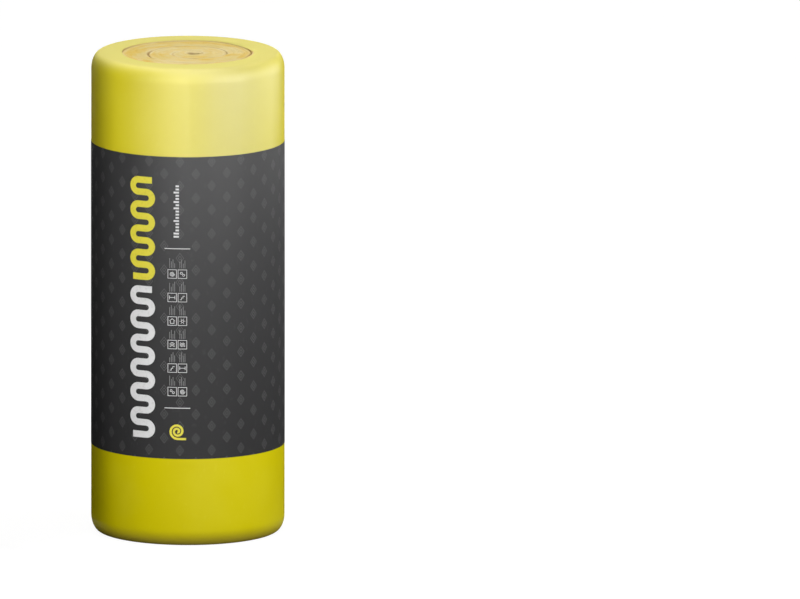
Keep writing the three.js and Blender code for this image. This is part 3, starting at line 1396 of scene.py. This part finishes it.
def soft_box(name, azimuth, distance, height, aim_height, size, power):
    lamp = bpy.data.lights.new(name, "AREA")
    lamp.shape = "RECTANGLE"
    lamp.size, lamp.size_y = size
    lamp.energy = power
    box = add_object(name, lamp)
    place_facing(box, azimuth, distance, height, aim_height)
    return box


# name, azimuth, distance, height, height aimed at, size, watts
BODY_BOXES = (
    ("low_box", 10, 1.1, 0.3, 0.0, (1.4, 0.4), 7.5),
    ("left_box", -46, 1.4, 1.2, 1.0, (0.6, 0.7), 11.2),
    ("side_box", 86, 1.6, 0.85, 0.45, (1.0, 1.1), 17.5),
    ("back_box", 200, 2.6, 1.2, 0.6, (1.6, 1.4), 58),
    ("top_box", 45, 0.25, 2.9, 1.2, (1.6, 1.6), 28),
)
for box in BODY_BOXES:
    soft_box(*box).visible_glossy = False

# %% Gloss panels
GLOSS_BOXES = (
    ("gloss_front", -3, 1.5, 1.25, 1.1, (1.4, 0.9), 26),
    ("gloss_right", 50, 1.5, 1.25, 1.1, (1.4, 0.9), 28.5),
    ("gloss_side", 108, 1.5, 1.25, 1.1, (1.4, 0.9), 17),
    ("gloss_high", 16, 1.2, 2.3, 1.15, (2.4, 0.8), 29),
    ("gloss_top", 20, 0.2, 2.7, 1.2, (1.8, 1.0), 31),
    ("gloss_back", 180, 1.6, 2.4, 1.2, (2.0, 0.8), 5),
)
for box in GLOSS_BOXES:
    soft_box(*box).visible_diffuse = False

# %% Black cards
BLACK_CLOTH = {"Base Color": (0, 0, 0, 1), "Roughness": 1.0, "Specular IOR Level": 0.0}


def black_card(mesh):
    """A card that takes light away. Other settings say which light meets it."""
    card = add_object(mesh.name, mesh)
    dress(card, mesh.name, lambda tree: BLACK_CLOTH)
    card.visible_camera = card.visible_transmission = False
    return card


# %% The curtain, which only gloss sees
CURTAIN_RADIUS = 2.3
CURTAIN_HEIGHT = 2.0
CURTAIN_HEM = 0.3  # how near to the roll's axis its lower edge comes along the floor
CURTAIN_LIFT = 1 * MM
CURTAIN_FROM, CURTAIN_TO = math.radians(50), math.radians(310)  # from the front, by the back
CURTAIN_PANELS = 26


def make_curtain():
    """A curtain round the sides and back, with a hem that comes in along the floor."""
    angle = np.linspace(CURTAIN_FROM, CURTAIN_TO, CURTAIN_PANELS + 1)[:, None]
    radius = np.array([CURTAIN_HEM, CURTAIN_RADIUS, CURTAIN_RADIUS])
    height = np.array([CURTAIN_LIFT, CURTAIN_LIFT, CURTAIN_HEIGHT])
    points = round_roll(angle, radius, height)
    faces, _ = grid(*points.shape[:2], rows_meet=False, columns_meet=False)
    mesh = bpy.data.meshes.new("black_curtain")
    mesh.from_pydata(points.reshape(-1, 3).tolist(), [], faces.tolist())
    curtain = black_card(mesh)
    curtain.visible_diffuse = curtain.visible_shadow = False


make_curtain()

# %% The flag, which shades the left edge from the left box
FLAG_AZIMUTH, FLAG_DISTANCE = -54, 0.49  # of its near edge
FLAG_WIDTH, FLAG_HEIGHT = 0.5, 1.35


def make_flag():
    half = FLAG_HEIGHT / 2
    flag = black_card(rectangle("black_flag", -FLAG_WIDTH, 0, -half, half))
    flag.visible_glossy = False
    place_facing(flag, FLAG_AZIMUTH, FLAG_DISTANCE, half, half)


make_flag()

# %% World
WORLD_DIM = 0.03


def make_world():
    world = bpy.data.worlds.new("studio")
    world.use_nodes = True
    tree = world.node_tree
    strength = add(tree, "MapRange", {"Value": shown_rays(tree), "To Min": WORLD_DIM})
    fill(tree, tree.nodes["Background"].inputs, {
        "Color": (1, 1, 1, 1), "Strength": strength.outputs["Result"]})
    bpy.context.scene.world = world


make_world()
bpy.context.scene.view_settings.view_transform = "Standard"

# %% [markdown]
